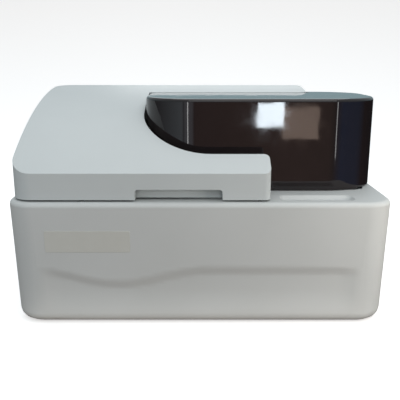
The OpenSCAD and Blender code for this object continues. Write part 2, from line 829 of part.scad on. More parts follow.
module cooler_block() {
    w = 66;
    fin_n = 8;
    c = carousel_c - [85, 0];
    color("#a9adb2") union() {
        block([c[0] - w / 2, c[1] - w / 2, bowl_z - 8], [c[0] + w / 2, c[1] + w / 2, bowl_z]);
        for (i = [0:fin_n - 1]) {
            x = c[0] - w / 2 + i * (w - 3) / (fin_n - 1);
            block([x, c[1] - w / 2, bowl_z - 32], [x + 3, c[1] + w / 2, bowl_z - 8]);
        }
    }
}

module incubator_bowl() {
    color("#b4b8bb") bowl(rotor_c, incubator_r, 3, incubator_z, 13);
}

module rotor_bearing() {
    color(steel) bearing(rotor_c, incubator_z, 9, 13, rotor_spindle_r + run_gap);
}

module reaction_rotor() {
    color("#3a3c40") difference() {
        union() {
            rod_z(cuvette_z0 - 4, cuvette_z0, rotor_c, cuvette_out);
            rod_z(incubator_z + 12, cuvette_z1 - 6, rotor_c, 16);
        }
        rod_z(incubator_z, cuvette_z1, rotor_c, rotor_spindle_r + seat_gap);
        for (i = [0:5]) rod_z(cuvette_z0 - 5, cuvette_z0 + 1, ring_spot(rotor_c, 48, 30, i, 6), 17);
    }
}

module cuvette_ring() {
    pocket_w = 7;
    pocket_l = 6;
    floor_t = 4;
    color("#dfe7ea") difference() {
        rod_z(cuvette_z0, cuvette_z1, rotor_c, cuvette_out);
        rod_z(cuvette_z0 - 1, cuvette_z1 + 1, rotor_c, cuvette_in);
        for (i = [0:cuvette_n - 1])
            translate([rotor_c[0], rotor_c[1], 0]) rotate(cuvette_phase + i * 360 / cuvette_n)
                block([cuvette_ring_r - pocket_l / 2, -pocket_w / 2, cuvette_z0 + floor_t],
                    [cuvette_ring_r + pocket_l / 2, pocket_w / 2, cuvette_z1 + 1]);
    }
}

module rotor_spindle() {
    color("#8f9398") rod_z(incubator_z - 33, cuvette_z1 - 4, rotor_c, rotor_spindle_r);
}

module rotor_cap() {
    z = cuvette_z1 - 6;
    color(dark) difference() {
        union() {
            rod_z(z, z + 4, rotor_c, 20);
            rod_z(z + 4, z + 10, rotor_c, 12);
        }
        rod_z(z - 1, z + 3, rotor_c, rotor_spindle_r + seat_gap);
    }
}

module rotor_motor() {
    color(dark) motor(rotor_c, incubator_z, rotor_motor_h, 42, rotor_spindle_r + 0.1, 35);
}

module arm_column() {
    c = [arm_x, arm_d];
    color(steel) difference() {
        union() {
            rod_z(work_top, work_top + 4, c, 26);
            rod_z(work_top, work_top + arm_column_h, c, 15);
        }
        rod_z(work_top - 1, work_top + arm_column_h + 1, c, shaft_r + run_gap);
    }
}

module arm_drive() {
    w = 64;
    z = work_bot - 147;
    color("#4a4d52") difference() {
        block([arm_x - w / 2, arm_d - w / 2, z], [arm_x + w / 2, arm_d + w / 2, work_bot]);
        rod_z(z + 20, work_bot + 1, [arm_x, arm_d], shaft_r + 1);
    }
}

module arm_shaft() {
    c = [arm_x, arm_d];
    color("#c4c7ca") union() {
        rod_z(work_bot - 62, arm_z + 11, c, shaft_r);
        rod_z(arm_collar_z, arm_boss_z - seat_clear, c, shaft_r + 5);
    }
}

// The arm's outline tapers from the shaft's boss to the probe's end.
module arm_outline() {
    root_r = 20;
    tip_r = 11;
    tangent = acos((root_r - tip_r) / arm_l);
    polygon(concat(
        arc([0, 0], root_r, tangent, 360 - tangent, 24),
        arc([arm_l, 0], tip_r, -tangent, tangent, 14)));
}

module probe_arm() {
    c = [arm_x, arm_d];
    color(white) difference() {
        union() {
            translate([arm_x, arm_d, arm_z]) rotate(rest_angle) linear_extrude(arm_t) arm_outline();
            rod_z(arm_boss_z, arm_z + eps, c, shaft_r + 6);
        }
        rod_z(arm_boss_z - 1, arm_z + 12, c, shaft_r + run_gap);
        rod_z(arm_z - 1, arm_z + 10, wash_c, 3 + seat_gap);
    }
}

module probe_needle() {
    needle_r = 1.25;
    color("#d5d8db") union() {
        rod_z(needle_tip_z, arm_z + 9, wash_c, needle_r);
        rod_z(arm_z - 14, arm_z + 9, wash_c, 3);
        rod_z(arm_z - 14, arm_z - 0.2, wash_c, 5);
    }
}

module wash_well() {
    color("#e9edef") difference() {
        union() {
            rod_z(work_top - 31, work_top + 9, wash_c, 13);
            rod_z(work_top, work_top + 2, wash_c, 17);
        }
        rod_z(work_top - 28, work_top + 10, wash_c, 9);
    }
}

module wash_post() {
    color("#c4c7ca") union() {
        rod_z(work_top, work_top + 4, wash_post_c, 18);
        rod_z(work_top, wash_head_z + 34, wash_post_c, wash_post_r);
    }
}

module wash_head() {
    bar_w = 16;
    bar_t = 12;
    color("#5a5e63") difference() {
        union() {
            rod_z(wash_head_z - 3, wash_head_z + 18, wash_post_c, 16);
            translate([rotor_c[0], rotor_c[1], wash_head_z]) rotate(wash_angle) {
                block([cuvette_ring_r, -bar_w / 2, 0], [wash_reach - 12, bar_w / 2, bar_t]);
                block([cuvette_ring_r - 8, -28, 0], [cuvette_ring_r + 9, 28, bar_t]);
            }
        }
        rod_z(wash_head_z - 10, wash_head_z + 30, wash_post_c, wash_post_r + run_gap);
        for (i = [0:nozzle_n - 1]) rod_z(wash_head_z - 1, wash_head_z + 8, nozzle_spot(i), 1.2 + seat_gap);
    }
}

function nozzle_spot(i) = ring_spot(rotor_c, cuvette_ring_r, cuvette_phase, nozzle_first + i, cuvette_n);

module wash_nozzles() {
    color("#d5d8db") for (i = [0:nozzle_n - 1]) rod_z(nozzle_tip_z, wash_head_z + 7.5, nozzle_spot(i), 1.2);
}

module photometer() {
    d0 = rotor_d - 45;
    color(dark) union() {
        block([photo_x0, d0, work_top], [photo_x0 + photo_w, d0 + 65, work_top + 28]);
        block([photo_x0 + 6, d0 + 8, work_top + 28], [photo_x0 + photo_w - 10, d0 + 57, work_top + 35]);
    }
}

module lamp_house() {
    d0 = rotor_d + 24;
    fin_n = 7;
    color("#3a3c40") union() {
        block([photo_x0, d0, work_top], [photo_x0 + 44, d0 + 46, work_top + 24]);
        for (i = [0:fin_n - 1])
            block([photo_x0, d0 + i * 7, work_top + 24], [photo_x0 + 44, d0 + i * 7 + 4, work_top + 45]);
    }
}

module syringe_block() {
    color("#d0d3d5") union() {
        block([photo_x0, syringe_d - 22, work_top], [photo_x0 + 46, syringe_d + 23, syringe_z]);
        block([photo_x0, syringe_d - 22, work_top], [photo_x0 + 12, syringe_d + 23, syringe_z + 93]);
        difference() {
            block([photo_x0 + 11, syringe_d - 14, syringe_z + 30], [photo_x0 + 42, syringe_d + 14, syringe_z + 40]);
            rod_z(syringe_z + 20, syringe_z + 50, [syringe_x, syringe_d], barrel_r + seat_gap);
        }
    }
}

module syringe_barrel() {
    c = [syringe_x, syringe_d];
    color("#d9e6ea") difference() {
        rod_z(syringe_z, syringe_z + barrel_l, c, barrel_r);
        rod_z(syringe_z + 4, syringe_z + barrel_l + 1, c, barrel_bore_r);
    }
}

module syringe_plunger() {
    c = [syringe_x, syringe_d];
    color(dark) union() {
        rod_z(syringe_z + barrel_l - 10, syringe_z + barrel_l - 2, c, plunger_r);
        rod_z(syringe_z + barrel_l - 3, syringe_z + 86, c, 2.5);
        block([syringe_x - 12, syringe_d - 10, syringe_z + 83], [syringe_x + 12, syringe_d + 10, syringe_z + 89]);
    }
}

module power_supply() {
    top = plate_top + supply_h;
    color("#b0b4b8") difference() {
        block([supply_x0, supply_d1 - supply_l, plate_top], [supply_x0 + supply_w, supply_d1, top]);
        for (i = [0:8])
            block([supply_x0 + 18 + 12 * i, supply_d1 - supply_l + 30, top - 2],
                [supply_x0 + 24 + 12 * i, supply_d1 - 30, top + 1]);
    }
}

module main_board() {
    z = plate_top + board_post_h;
    x = board_x0;
    d = board_d1;
    color("#2f6b45") union() {
        block([x, d - board_l, z], [x + board_w, d, z + 2]);
        block([x + 50, d - 100, z + 2], [x + 90, d - 60, z + 5]);
        block([x + 140, d - 110, z + 2], [x + 170, d - 80, z + 5]);
        for (i = [0:4]) block([x + 10 + 50 * i, d - 18, z + 2], [x + 40 + 50 * i, d - 6, z + 14]);
    }
}

module board_posts() {
    inset = 8;
    color(steel) for (x = [board_x0 + inset, board_x0 + board_w / 2, board_x0 + board_w - inset],
        d = [board_d1 - board_l + inset, board_d1 - 30]) rod_z(plate_top, plate_top + board_post_h, [x, d], 4);
}

module fluid_pump() {
    color("#4a4d52") union() {
        block([pump_c[0] - 35, pump_c[1] - 35, plate_top], [pump_c[0] + 35, pump_c[1] + 35, plate_top + 8]);
        block([pump_c[0] - 25, pump_c[1] - 25, plate_top + 8], [pump_c[0] + 25, pump_c[1] + 25, plate_top + 50]);
        rod_z(plate_top + 50, plate_top + 92, pump_c, 20);
    }
}

module fan_frame() {
    h = fan_w / 2;
    d0 = base_d - fan_t;
    color(dark) difference() {
        union() {
            difference() {
                block([fan_x - h, d0, fan_z - h], [fan_x + h, base_d, fan_z + h]);
                rod_y(d0 - 1, base_d + 1, [fan_x, fan_z], fan_bore_r);
            }
            rod_y(d0, d0 + 3, [fan_x, fan_z], 15);
            for (a = [30, 150, 270]) translate([fan_x, 0, fan_z]) rotate([0, a, 0])
                block([10, d0, -2], [fan_bore_r + 1, d0 + 3, 2]);
            rod_y(d0, d0 + 18, [fan_x, fan_z], 2);
        }
    }
}

module fan_impeller() {
    d0 = base_d - fan_t + 4;
    d1 = base_d - 4;
    color("#3a3c40") difference() {
        union() {
            rod_y(d0, d1, [fan_x, fan_z], 16);
            for (i = [0:blade_n - 1]) translate([fan_x, (d0 + d1) / 2, fan_z]) rotate([0, i * 360 / blade_n, 0])
                rotate([35, 0, 0]) block([14, -9, -0.8], [34.5, 9, 0.8]);
        }
        rod_y(d0 - 1, d0 + 15, [fan_x, fan_z], 2 + run_gap);
    }
}

module fan_guard() {
    rings = [12, 22, 32, 39];
    color(steel) union() {
        for (r = rings) difference() {
            rod_y(panel_d, panel_d + 2.4, [fan_x, fan_z], r + 1.2);
            rod_y(panel_d - 1, panel_d + 4, [fan_x, fan_z], r - 1.2);
        }
        for (a = [45, 135]) translate([fan_x, 0, fan_z]) rotate([0, a, 0])
            block([-44, panel_d, -1.5], [44, panel_d + 2.4, 1.5]);
    }
}

module power_inlet() {
    color(dark) difference() {
        union() {
            block([inlet_x - 25, panel_d, port_z - 16], [inlet_x + 25, panel_d + 3, port_z + 16]);
            block([inlet_x - 16, base_d - 18, port_z - 12], [inlet_x + 16, panel_d + 1, port_z + 12]);
        }
        block([inlet_x - 12.5, base_d - 13, port_z - 8.5], [inlet_x + 12.5, panel_d + 4, port_z + 8.5]);
    }
}

module switch_bezel() {
    color(dark) difference() {
        union() {
            block([switch_x - 15, panel_d, port_z - 18], [switch_x + 15, panel_d + 2.5, port_z + 18]);
            block([switch_x - 12, base_d - 24, port_z - 15], [switch_x + 12, panel_d + 1, port_z + 15]);
        }
        block([switch_x - switch_w / 2 - 0.4, base_d - 21, port_z - switch_r - 0.4],
            [switch_x + switch_w / 2 + 0.4, panel_d + 4, port_z + switch_r + 0.4]);
        rod_x(switch_x - 11.5, switch_x + 11.5, [switch_d, port_z], 1.5 + run_gap);
    }
}

module power_switch() {
    color("#1f2022") translate([0, switch_d, port_z]) rotate([switch_tilt, 0, 0]) union() {
        intersection() {
            rod_x(switch_x - switch_w / 2, switch_x + switch_w / 2, [0, 0], switch_r);
            block([switch_x - switch_w, -7, -switch_r], [switch_x + switch_w, 9.5, switch_r]);
        }
        rod_x(switch_x - 11, switch_x + 11, [0, 0], 1.5);
    }
}

module data_port() {
    color("#a9adb2") difference() {
        union() {
            block([data_x - 20, panel_d, port_z - 10], [data_x + 20, panel_d + 2, port_z + 10]);
            block([data_x - 14, base_d - 12, port_z - 7], [data_x + 14, panel_d + 5, port_z + 7]);
        }
        block([data_x - 12.5, base_d - 6, port_z - 5.5], [data_x + 12.5, panel_d + 6, port_z + 5.5]);
    }
}

module hose_barbs() {
    color("#cfd2d4") for (x = barb_x) difference() {
        union() {
            rod_y(base_d - 8, panel_d + barb_l, [x, port_z], barb_r);
            rod_y(panel_d, panel_d + 3, [x, port_z], 9);
        }
        rod_y(base_d - 9, panel_d + barb_l + 1, [x, port_z], 2);
    }
}

in_frame() base_shell();
in_frame() base_plate();
in_frame() feet();
in_frame() work_deck();
in_frame() rear_tower();
in_frame() rear_panel();
in_frame() panel_screws();
in_frame() lid_shell();
in_frame() lid_knuckles();
in_frame() lid_hinge_brackets();
in_frame() lid_hinge_pins();
in_frame() lid_bumpers();
in_frame() smoked_cover();
in_frame() cover_lugs();
in_frame() cover_ears();
in_frame() cover_hinge_pins();
in_frame() carousel_bowl();
in_frame() carousel_tray();
in_frame() carousel_spindle();
in_frame() carousel_bearing();
in_frame() carousel_knob();
in_frame() sample_tubes();
in_frame() reagent_bottles();
in_frame() carousel_motor();
in_frame() cooler_block();
in_frame() incubator_bowl();
in_frame() reaction_rotor();
in_frame() cuvette_ring();
in_frame() rotor_spindle();
in_frame() rotor_bearing();
in_frame() rotor_cap();
in_frame() rotor_motor();
in_frame() arm_column();
in_frame() arm_drive();
in_frame() arm_shaft();
in_frame() probe_arm();
in_frame() probe_needle();
in_frame() wash_well();
in_frame() wash_post();
in_frame() wash_head();
in_frame() wash_nozzles();
in_frame() photometer();
in_frame() lamp_house();
in_frame() syringe_block();
in_frame() syringe_barrel();
in_frame() syringe_plunger();
in_frame() power_supply();
in_frame() main_board();
in_frame() board_posts();
in_frame() fluid_pump();
in_frame() fan_frame();
in_frame() fan_impeller();
in_frame() fan_guard();
in_frame() power_inlet();
in_frame() switch_bezel();
in_frame() power_switch();
in_frame() data_port();
in_frame() hose_barbs();
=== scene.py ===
"""Looks for a bench-top chemistry analyzer: moulded casing, arched lid, smoked cover and the works inside."""
import json
import math

import bmesh
import bpy
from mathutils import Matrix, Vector

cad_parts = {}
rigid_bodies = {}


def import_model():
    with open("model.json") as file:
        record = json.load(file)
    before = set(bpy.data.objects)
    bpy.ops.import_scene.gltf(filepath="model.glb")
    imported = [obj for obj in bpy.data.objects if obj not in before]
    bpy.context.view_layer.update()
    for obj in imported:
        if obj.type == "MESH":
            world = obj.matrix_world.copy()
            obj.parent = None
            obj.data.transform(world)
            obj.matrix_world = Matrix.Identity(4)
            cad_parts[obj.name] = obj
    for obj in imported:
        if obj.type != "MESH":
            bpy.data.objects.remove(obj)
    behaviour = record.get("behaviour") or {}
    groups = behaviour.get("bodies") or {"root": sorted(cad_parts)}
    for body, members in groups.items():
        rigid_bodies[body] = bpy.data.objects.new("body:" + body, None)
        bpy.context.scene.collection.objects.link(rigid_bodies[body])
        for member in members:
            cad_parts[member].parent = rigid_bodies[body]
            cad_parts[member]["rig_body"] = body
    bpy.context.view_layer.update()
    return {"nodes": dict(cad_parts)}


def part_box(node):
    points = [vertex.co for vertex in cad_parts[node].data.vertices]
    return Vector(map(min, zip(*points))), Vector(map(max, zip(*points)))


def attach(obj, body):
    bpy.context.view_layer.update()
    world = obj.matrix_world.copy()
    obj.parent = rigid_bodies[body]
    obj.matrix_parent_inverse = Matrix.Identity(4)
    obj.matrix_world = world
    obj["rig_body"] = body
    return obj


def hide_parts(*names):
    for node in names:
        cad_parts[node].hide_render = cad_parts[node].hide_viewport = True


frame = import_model()
nodes = frame["nodes"]

# View. The photograph looks straight at the front from a little above the lid.
# The lens and place were solved on the casing's edges, for a square picture.
picture_px = 400
focal_px = 570
film_mm = 36
look_down = math.radians(13.8)
camera_place = (0.0, -1.4062, 0.5624)
camera_data = bpy.data.cameras.new("camera")
camera_data.sensor_fit = "HORIZONTAL"
camera_data.sensor_width = film_mm
camera_data.lens = focal_px / picture_px * film_mm
camera = bpy.data.objects.new("camera", camera_data)
camera.location = camera_place
camera.rotation_euler = (math.pi / 2 - look_down, 0, 0)
bpy.context.scene.collection.objects.link(camera)
bpy.context.scene.camera = camera
bpy.context.scene.view_settings.view_transform = "Standard"

# Studio. A pale paper sweep under soft light from above, the front and behind, with a warm fill on the right
# and a cooler one on the left. Polished pieces mirror a dim room instead: brown in front, grey to the left,
# blue to the right, and strips, a window and a lit wall that draw the streaks on the smoked cover.


def linear(colour):
    """An sRGB hex colour as a linear RGBA value."""
    parts = [int(colour[i:i + 2], 16) / 255 for i in (1, 3, 5)]
    return tuple(c / 12.92 if c <= 0.04045 else ((c + 0.055) / 1.055) ** 2.4 for c in parts) + (1.0,)


def add_node(tree, kind, settings=None, links=None):
    """Adds a node. Settings are its own fields, or the smooth stops or hard steps of a colour ramp, each
    a place and a colour. Links are values or outputs for its inputs."""
    node = tree.nodes.new(kind)
    for field, value in (settings or {}).items():
        if field in ("stops", "steps"):
            marks = node.color_ramp.elements
            node.color_ramp.interpolation = "LINEAR" if field == "stops" else "CONSTANT"
            for mark, (place, colour) in zip(marks, (value[0], value[-1])):
                mark.position = place
                mark.color = linear(colour)
            for place, colour in value[1:-1]:
                marks.new(place).color = linear(colour)
        else:
            setattr(node, field, value)
    for socket, value in (links or {}).items():
        if isinstance(value, bpy.types.NodeSocket):
            tree.links.new(value, node.inputs[socket])
        else:
            node.inputs[socket].default_value = value
    return node


def start_material(name, colour, roughness, metallic=0.0):
    """A material with its shader, and the place of each point in metres."""
    material = bpy.data.materials.new(name)
    material.use_nodes = True
    tree = material.node_tree
    shader = tree.nodes["Principled BSDF"]
    shader.inputs["Base Color"].default_value = linear(colour)
    shader.inputs["Roughness"].default_value = roughness
    shader.inputs["Metallic"].default_value = metallic
    place = add_node(tree, "ShaderNodeTexCoord").outputs["Object"]
    return material, tree, shader, place


# Heights here are the upward part of a ray's direction, which is 1 long.
ground_height, sky_height = -0.3, 0.6
horizon_blur = 0.03
backdrop_white = "#f6f6f5"
world = bpy.data.worlds.new("surround")
bpy.context.scene.world = world
world.use_nodes = True
sky_tree = world.node_tree
ray = add_node(sky_tree, "ShaderNodeTexCoord").outputs["Generated"]
ray_parts = add_node(sky_tree, "ShaderNodeSeparateXYZ", {}, {"Vector": ray})
ray_height = add_node(sky_tree, "ShaderNodeMapRange", {}, {
    "Value": ray_parts.outputs["Z"], "From Min": ground_height, "From Max": sky_height})
soft_light = add_node(sky_tree, "ShaderNodeValToRGB", {
    "stops": ((0.0, "#736860"), (1.0, "#cad0d4"))}, {"Fac": ray_height.outputs["Result"]})
# Once round the room, from the left by way of the front at 0.25, the right at 0.5 and the back at 0.75.
round_about = add_node(sky_tree, "ShaderNodeTexGradient", {"gradient_type": "RADIAL"}, {"Vector": ray})
room = add_node(sky_tree, "ShaderNodeValToRGB", {"stops": (
    (0.0, "#7a8286"), (0.15, "#d4e2ea"), (0.162, "#d8e4ec"), (0.17, "#848c92"), (0.178, "#dce2ea"),
    (0.222, "#d0d0d8"), (0.235, "#85706c"), (0.275, "#a08579"), (0.31, "#6c635d"), (0.36, "#4272a6"),
    (0.47, "#366088"), (0.53, "#1e2226"), (0.66, "#121416"), (0.715, "#7c8286"), (0.79, "#7c8286"),
    (0.86, "#3a3c3e"), (0.92, "#3a3c3e"), (1.0, "#7a8286"))}, {"Fac": round_about.outputs["Fac"]})
above_floor = add_node(sky_tree, "ShaderNodeMapRange", {}, {
    "Value": ray_parts.outputs["Z"], "From Min": -horizon_blur, "From Max": horizon_blur})
pale_air = add_node(sky_tree, "ShaderNodeValToRGB", {
    "stops": ((0.33, "#8aa4aa"), (1.0, "#cad0d4"))}, {"Fac": ray_height.outputs["Result"]})
mirrored = add_node(sky_tree, "ShaderNodeMix", {"data_type": "RGBA"}, {
    "Factor": above_floor.outputs["Result"], 6: room.outputs["Color"], 7: pale_air.outputs["Color"]})
ray_kind = add_node(sky_tree, "ShaderNodeLightPath")
lit_or_mirrored = add_node(sky_tree, "ShaderNodeMix", {"data_type": "RGBA"}, {
    "Factor": ray_kind.outputs["Is Glossy Ray"], 6: soft_light.outputs["Color"], 7: mirrored.outputs[2]})
surround = add_node(sky_tree, "ShaderNodeMix", {"data_type": "RGBA"}, {
    "Factor": ray_kind.outputs["Is Camera Ray"], 6: lit_or_mirrored.outputs[2], 7: linear(backdrop_white)})
sky_tree.links.new(surround.outputs[2], sky_tree.nodes["Background"].inputs["Color"])

white, daylight, warm, beige = "#ffffff", "#eaf6ff", "#fff7ee", "#ffe2d0"
# Name, place, aim, width, height, watts, colour, whether it lights the object, whether the object mirrors it.
lamps = (
    ("overhead", (0.1, 0.15, 2.4), (0, 0, 0.25), 2.2, 1.4, 10.6, white, True, True),
    ("front_top", (0.25, -1.7, 2.0), (0, -0.1, 0.25), 1.8, 0.9, 9, white, True, True),
    ("right_fill", (0.8, -0.65, 0.35), (0.3, -0.26, 0.2), 0.3, 0.3, 2.5, warm, True, False),
    ("left_fill", (-1.0, -0.9, 0.5), (-0.3, -0.26, 0.2), 0.4, 0.4, 1.0, daylight, True, False),
    ("rear_fill", (0.2, 2.0, 1.1), (0, 0.26, 0.25), 1.4, 0.8, 5, white, True, True),
    ("floor_bounce", (0.0, -0.3, 0.003), (0, -0.25, 0.03), 0.82, 0.05, 0.052, warm, True, False),
    ("left_strip", (-0.5, -1.5, 0.28), (-0.03, -0.15, 0.4), 0.05, 0.36, 0.4, white, False, True),
    ("right_strip", (0.98, -1.5, 0.28), (0.3, -0.15, 0.4), 0.05, 0.36, 0.3, white, False, True),
    ("window", (0.33, -1.55, 0.32), (0.15, -0.15, 0.44), 0.13, 0.12, 1.3, daylight, False, True),
    ("lit_wall", (0.48, -1.57, 0.28), (0.22, -0.15, 0.41), 0.18, 0.15, 0.22, beige, False, True),
)
for lamp_name, lamp_place, lamp_aim, lamp_w, lamp_h, lamp_power, lamp_colour, lights, mirrors in lamps:
    lamp_data = bpy.data.lights.new(lamp_name, "AREA")
    lamp_data.shape = "RECTANGLE"
    lamp_data.size = lamp_w
    lamp_data.size_y = lamp_h
    lamp_data.energy = lamp_power
    lamp_data.color = linear(lamp_colour)[:3]
    lamp = bpy.data.objects.new(lamp_name, lamp_data)
    lamp.location = lamp_place
    aim = Vector(lamp_aim) - Vector(lamp_place)
    lamp.rotation_euler = aim.to_track_quat("-Z", "Y").to_euler()
    lamp.visible_camera = False
    lamp.visible_diffuse = lights
    lamp.visible_glossy = mirrors
    bpy.context.scene.collection.objects.link(lamp)

sweep_half = 6.0
sweep_front, sweep_back = -5.0, 2.2
sweep_r = 1.2
sweep_top = 5.0
sweep_steps = 12
sweep_glow = 0.5
sweep_line = [(sweep_front, 0.0)]
for i in range(sweep_steps + 1):
    turn = i * math.pi / 2 / sweep_steps
    sweep_line.append((sweep_back + sweep_r * math.sin(turn), sweep_r * (1 - math.cos(turn))))
sweep_line.append((sweep_back + sweep_r, sweep_top))
sweep_mesh = bpy.data.meshes.new("sweep")
sweep_mesh.from_pydata(
    [(x, y, z) for y, z in sweep_line for x in (-sweep_half, sweep_half)], [],
    [(2 * i, 2 * i + 1, 2 * i + 3, 2 * i + 2) for i in range(len(sweep_line) - 1)])
sweep_mesh.polygons.foreach_set("use_smooth", [True] * len(sweep_mesh.polygons))
sweep = bpy.data.objects.new("sweep", sweep_mesh)
bpy.context.scene.collection.objects.link(sweep)
# Backlit paper: an even white all the way back, without a highlight.
sweep_paper, _, sweep_shader, _ = start_material("backlit_sweep_paper", "#f3f3f2", 0.9)
sweep_shader.inputs["Emission Color"].default_value = linear(white)
sweep_shader.inputs["Emission Strength"].default_value = sweep_glow
sweep_mesh.materials.append(sweep_paper)
sweep.visible_diffuse = False
sweep.visible_glossy = False

# Feet. Four moulded black rubber pads, bonded under the corners of the bottom plate, carry the whole unit.
# Small buffers of the same rubber stand on the casing's deck, where the lid comes down.
same_point = 2e-6
shortest_edge = 5e-6
broken_edge_angle = math.radians(40)


def dress(material, *names, edge_mm=0.0):
    """Puts a material on CAD nodes and, where asked, breaks their sharp edges."""
    for name in names:
        piece = nodes[name]
        if not piece.material_slots:
            piece.data.materials.append(material)
        for place in piece.material_slots:
            place.material = material
        if edge_mm:
            weld = piece.modifiers.new("weld", "WELD")
            weld.merge_threshold = same_point
            edge = piece.modifiers.new("broken_edges", "BEVEL")
            edge.width = edge_mm / 1000
            edge.segments = 2
            edge.limit_method = "ANGLE"
            edge.angle_limit = broken_edge_angle
            edge.use_clamp_overlap = True
            joined = piece.modifiers.new("joined_points", "WELD")
            joined.merge_threshold = shortest_edge
            even = piece.modifiers.new("even_faces", "WEIGHTED_NORMAL")
            even.keep_sharp = False


def speckled(name, colour, shade, roughness, grain_mm, depth_mm, metallic=0.0, spread=0.08):
    """A material whose tone, dullness and surface vary with one grain size. Where the real grain is too fine
    to show, this one is coarser."""
    material, tree, shader, place = start_material(name, colour, roughness, metallic)
    grain = add_node(tree, "ShaderNodeTexNoise", {}, {
        "Vector": place, "Scale": 1000 / grain_mm, "Detail": 3.0, "Roughness": 0.6})
    tone = add_node(tree, "ShaderNodeMix", {"data_type": "RGBA"}, {
        "Factor": grain.outputs["Fac"], 6: linear(shade), 7: linear(colour)})
    tree.links.new(tone.outputs[2], shader.inputs["Base Color"])
    dull = add_node(tree, "ShaderNodeMapRange", {}, {
        "Value": grain.outputs["Fac"], "To Min": roughness - spread, "To Max": roughness + spread})
    tree.links.new(dull.outputs["Result"], shader.inputs["Roughness"])
    bump = add_node(tree, "ShaderNodeBump", {}, {
        "Height": grain.outputs["Fac"], "Strength": 0.5, "Distance": depth_mm / 1000})
    tree.links.new(bump.outputs["Normal"], shader.inputs["Normal"])
    return material


# Nitrile rubber: nearly black and quite dull, with a bloom that mottles it.
rubber = speckled("moulded_nitrile_rubber", "#1c1c1d", "#121213", 0.82, 6.0, 0.05)
dress(rubber, "feet", "lid_bumpers")

# Bottom plate. Zinc-plated sheet steel, cut and punched with a row of air slots, let into the casing's rim.
# The power supply that stands on it has a case of the same sheet.


def brushed(name, colour, roughness, line_mm, run_mm, along):
    """Brushed metal: fine lines that run one way and spread its highlights across them."""
    depth_mm = 0.1
    material, tree, shader, place = start_material(name, colour, roughness, 1.0)
    scale = [1000 / line_mm] * 3
    scale[along] = 1000 / run_mm
    stretched = add_node(tree, "ShaderNodeVectorMath", {"operation": "MULTIPLY"}, {0: place, 1: scale})
    lines = add_node(tree, "ShaderNodeTexNoise", {}, {
        "Vector": stretched.outputs["Vector"], "Scale": 1.0, "Detail": 4.0, "Roughness": 0.6})
    dull = add_node(tree, "ShaderNodeMapRange", {}, {
        "Value": lines.outputs["Fac"], "To Min": roughness - 0.1, "To Max": roughness + 0.12})
    tree.links.new(dull.outputs["Result"], shader.inputs["Roughness"])
    bump = add_node(tree, "ShaderNodeBump", {}, {
        "Height": lines.outputs["Fac"], "Strength": 0.25, "Distance": depth_mm / 1000})
    tree.links.new(bump.outputs["Normal"], shader.inputs["Normal"])
    return material


# Zinc-plated sheet: a cool grey metal with drawn lines. The real lines are 0.2 mm, too fine to show.
steel_sheet = brushed("zinc_plated_sheet_steel", "#b4b8bc", 0.38, 1.6, 140, 0)
dress(steel_sheet, "base_plate", "power_supply", edge_mm=0.5)

# Base casing. One vacuum-formed ABS moulding with a fine leather-grain texture, light grey,
# screwed down over the bottom plate. Its edges carry the radius that the sheet takes on the tool.
flat_angle = math.radians(0.05)
moulded_edge_angle = math.radians(32)


def formed_abs(name, colour, shade, painted_crease_shade, roughness):
    """Textured ABS: dull, uneven in tone over a hand's width, with painted shade that darkens its creases."""
    grain_mm = 2.4  # the real grain is about 0.4 mm, too fine to show in the render
    grain_depth_mm = 0.4
    cloud_mm = 160
    crease_mm = 14
    material, tree, shader, place = start_material(name, colour, roughness)
    cloud = add_node(tree, "ShaderNodeTexNoise", {}, {
        "Vector": place, "Scale": 1000 / cloud_mm, "Detail": 3.0, "Roughness": 0.5})
    tone = add_node(tree, "ShaderNodeMix", {"data_type": "RGBA"}, {
        "Factor": cloud.outputs["Fac"], 6: linear(shade), 7: linear(colour)})
    # Painted shade: the colour darkens towards the crease colour where ambient occlusion finds creases and
    # corners.
    crease = add_node(tree, "ShaderNodeAmbientOcclusion", {"samples": 8, "only_local": True}, {
        "Distance": crease_mm / 1000})
    open_air = add_node(tree, "ShaderNodeMapRange", {}, {
        "Value": crease.outputs["AO"], "From Min": 0.3, "From Max": 0.8})
    shaded_creases = add_node(tree, "ShaderNodeMix", {"data_type": "RGBA"}, {
        "Factor": open_air.outputs["Result"], 6: linear(painted_crease_shade), 7: tone.outputs[2]})
    tree.links.new(shaded_creases.outputs[2], shader.inputs["Base Color"])
    grain = add_node(tree, "ShaderNodeTexNoise", {}, {
        "Vector": place, "Scale": 1000 / grain_mm, "Detail": 2.0, "Roughness": 0.6})
    dull = add_node(tree, "ShaderNodeMapRange", {}, {
        "Value": grain.outputs["Fac"], "To Min": roughness - 0.06, "To Max": roughness + 0.08})
    tree.links.new(dull.outputs["Result"], shader.inputs["Roughness"])
    bump = add_node(tree, "ShaderNodeBump", {}, {
        "Height": grain.outputs["Fac"], "Strength": 0.1, "Distance": grain_depth_mm / 1000})
    tree.links.new(bump.outputs["Normal"], shader.inputs["Normal"])
    shader.inputs["IOR"].default_value = 1.52
    return material


